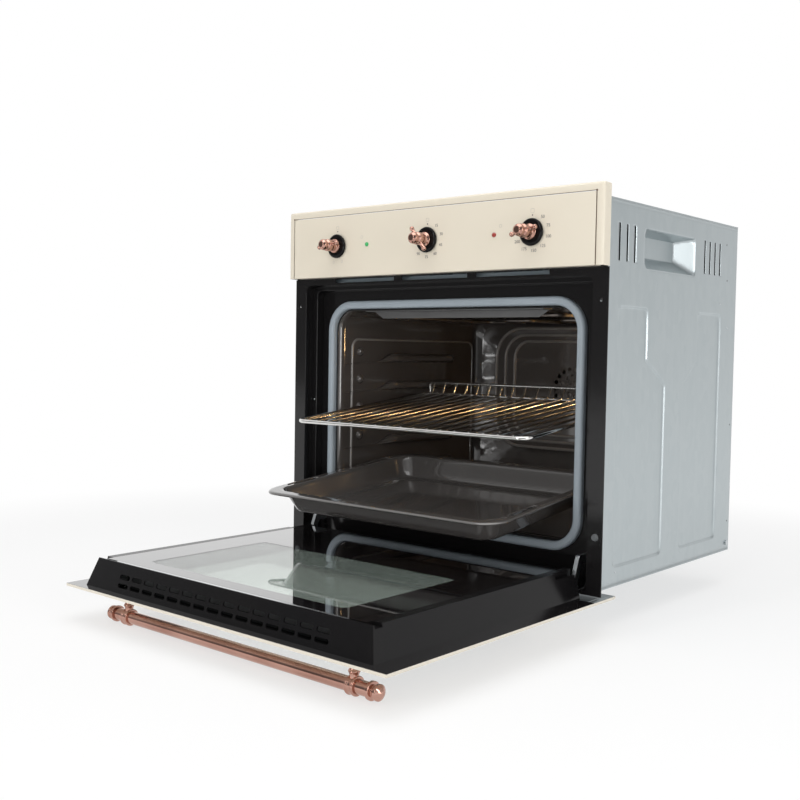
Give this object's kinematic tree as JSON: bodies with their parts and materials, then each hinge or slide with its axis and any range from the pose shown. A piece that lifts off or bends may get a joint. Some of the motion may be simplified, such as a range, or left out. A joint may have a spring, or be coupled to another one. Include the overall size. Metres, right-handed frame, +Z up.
{
  "type": "built-in oven",
  "caption": "Built-in electric oven with drop-down glass door, tube handle, knob-operated panel, wire rack and baking tray.",
  "frame": {"origin": "casing underside, middle of the width, at the cabinet's front plane", "axes": "+X to the right seen from the front, +Y to the back, +Z up; the door faces -Y"},
  "size_m": [0.595, 0.91, 0.6098],
  "materials": {
    "black_enamel": "gloss black enamel",
    "cream_enamel": "satin cream enamel",
    "galvanised_steel": "galvanised sheet",
    "cavity_enamel": "gloss dark brown vitreous enamel",
    "tray_enamel": "gloss dark enamel",
    "heater_steel": "heat-tinted steel",
    "zinc_steel": "bright zinc plate",
    "chrome_wire": "bright chrome plate",
    "copper": "polished rose copper plate",
    "black_gloss": "gloss black",
    "black_plastic": "matte black",
    "grey_silicone": "soft grey silicone",
    "mineral_wool": "mineral wool blanket",
    "white_ceramic": "glazed",
    "outer_glass": "cream-edged toughened glass",
    "clear_glass": "clear toughened glass with black border",
    "bright_strip": "brushed",
    "lamp_lens": "clear lens lit warm",
    "green_lens": "lit green",
    "red_lens": "lit red"
  },
  "bodies": {
    "oven_body": {"front_frame": "black_enamel", "air_duct": "galvanised_steel", "panel_surround": "cream_enamel", "panel_fascia": "cream_enamel", "side_panel_left": "galvanised_steel", "side_panel_right": "galvanised_steel", "top_cover": "galvanised_steel", "base_plate": "galvanised_steel", "rear_cover": "galvanised_steel", "cavity": "cavity_enamel", "shelf_runners_left": "cavity_enamel", "shelf_runners_right": "cavity_enamel", "fan_cover": "cavity_enamel", "fan_motor": "zinc_steel", "grill_element": "heater_steel", "bottom_element": "heater_steel", "heat_shield": "zinc_steel", "lamp_holder": "white_ceramic", "lamp_glass": "lamp_lens", "insulation_jacket": "mineral_wool", "door_seal": "grey_silicone", "hinge_bracket_left": "zinc_steel", "hinge_bracket_right": "zinc_steel", "selector_switch": "black_plastic", "timer_unit": "black_plastic", "thermostat_unit": "black_plastic", "indicator_green": "green_lens", "indicator_red": "red_lens", "terminal_box": "black_plastic", "cable_gland": "black_plastic", "door_buffers": "grey_silicone", "rear_screws": "zinc_steel", "side_screws": "zinc_steel"},
    "door": {"door_outer_panel": "outer_glass", "door_middle_glass": "clear_glass", "door_inner_glass": "clear_glass", "door_glass_strip": "bright_strip", "door_top_rail": "black_enamel", "door_bottom_rail": "black_enamel", "door_side_left": "black_enamel", "door_side_right": "black_enamel", "door_hinge_left": "zinc_steel", "door_hinge_right": "zinc_steel", "handle_bar": "copper", "handle_post_left": "copper", "handle_post_right": "copper", "handle_end_left": "copper", "handle_end_right": "copper"},
    "rack": {"wire_rack": "chrome_wire"},
    "tray": {"baking_tray": "tray_enamel"},
    "fan_wheel": {"fan_rotor": "zinc_steel"},
    "knob_function": {"knob_function": "copper", "knob_function_skirt": "black_gloss", "knob_function_shaft": "zinc_steel"},
    "knob_timer": {"knob_timer": "copper", "knob_timer_skirt": "black_gloss", "knob_timer_shaft": "zinc_steel"},
    "knob_heat": {"knob_heat": "copper", "knob_heat_skirt": "black_gloss", "knob_heat_shaft": "zinc_steel"}
  },
  "joints": [
    {"name": "door_hinge", "type": "hinge", "parent": "oven_body", "child": "door", "pos_m": [0, -0.003, 0.0065], "axis": [-1, 0, 0], "range_deg": [0, 90]},
    {"name": "rack_travel", "type": "hinge", "parent": "oven_body", "child": "rack", "pos_m": [0, 0.1458, -0.90441], "axis": [-1, 0, 0], "range_deg": [0, 6.5]},
    {"name": "tray_travel", "type": "hinge", "parent": "oven_body", "child": "tray", "pos_m": [0, 0.1978, -1.59227], "axis": [-1, 0, 0], "range_deg": [0, 6.5]},
    {"name": "function_turn", "type": "hinge", "parent": "oven_body", "child": "knob_function", "pos_m": [-0.186, -0.018, 0.4925], "axis": [0, 1, 0], "range_deg": [0, 315]},
    {"name": "timer_turn", "type": "hinge", "parent": "oven_body", "child": "knob_timer", "pos_m": [0, -0.018, 0.4925], "axis": [0, 1, 0], "range_deg": [-30, 270]},
    {"name": "heat_turn", "type": "hinge", "parent": "oven_body", "child": "knob_heat", "pos_m": [0.186, -0.018, 0.4925], "axis": [0, 1, 0], "range_deg": [0, 270]},
    {"name": "fan_spin", "type": "hinge", "parent": "oven_body", "child": "fan_wheel", "pos_m": [0, 0.4248, 0.26138], "axis": [0, 1, 0], "continuous": true}
  ],
  "couplings": [
    {"joint": "rack_travel", "follows": "door_hinge", "ratio": 0.072222},
    {"joint": "tray_travel", "follows": "door_hinge", "ratio": 0.072222}
  ]
}
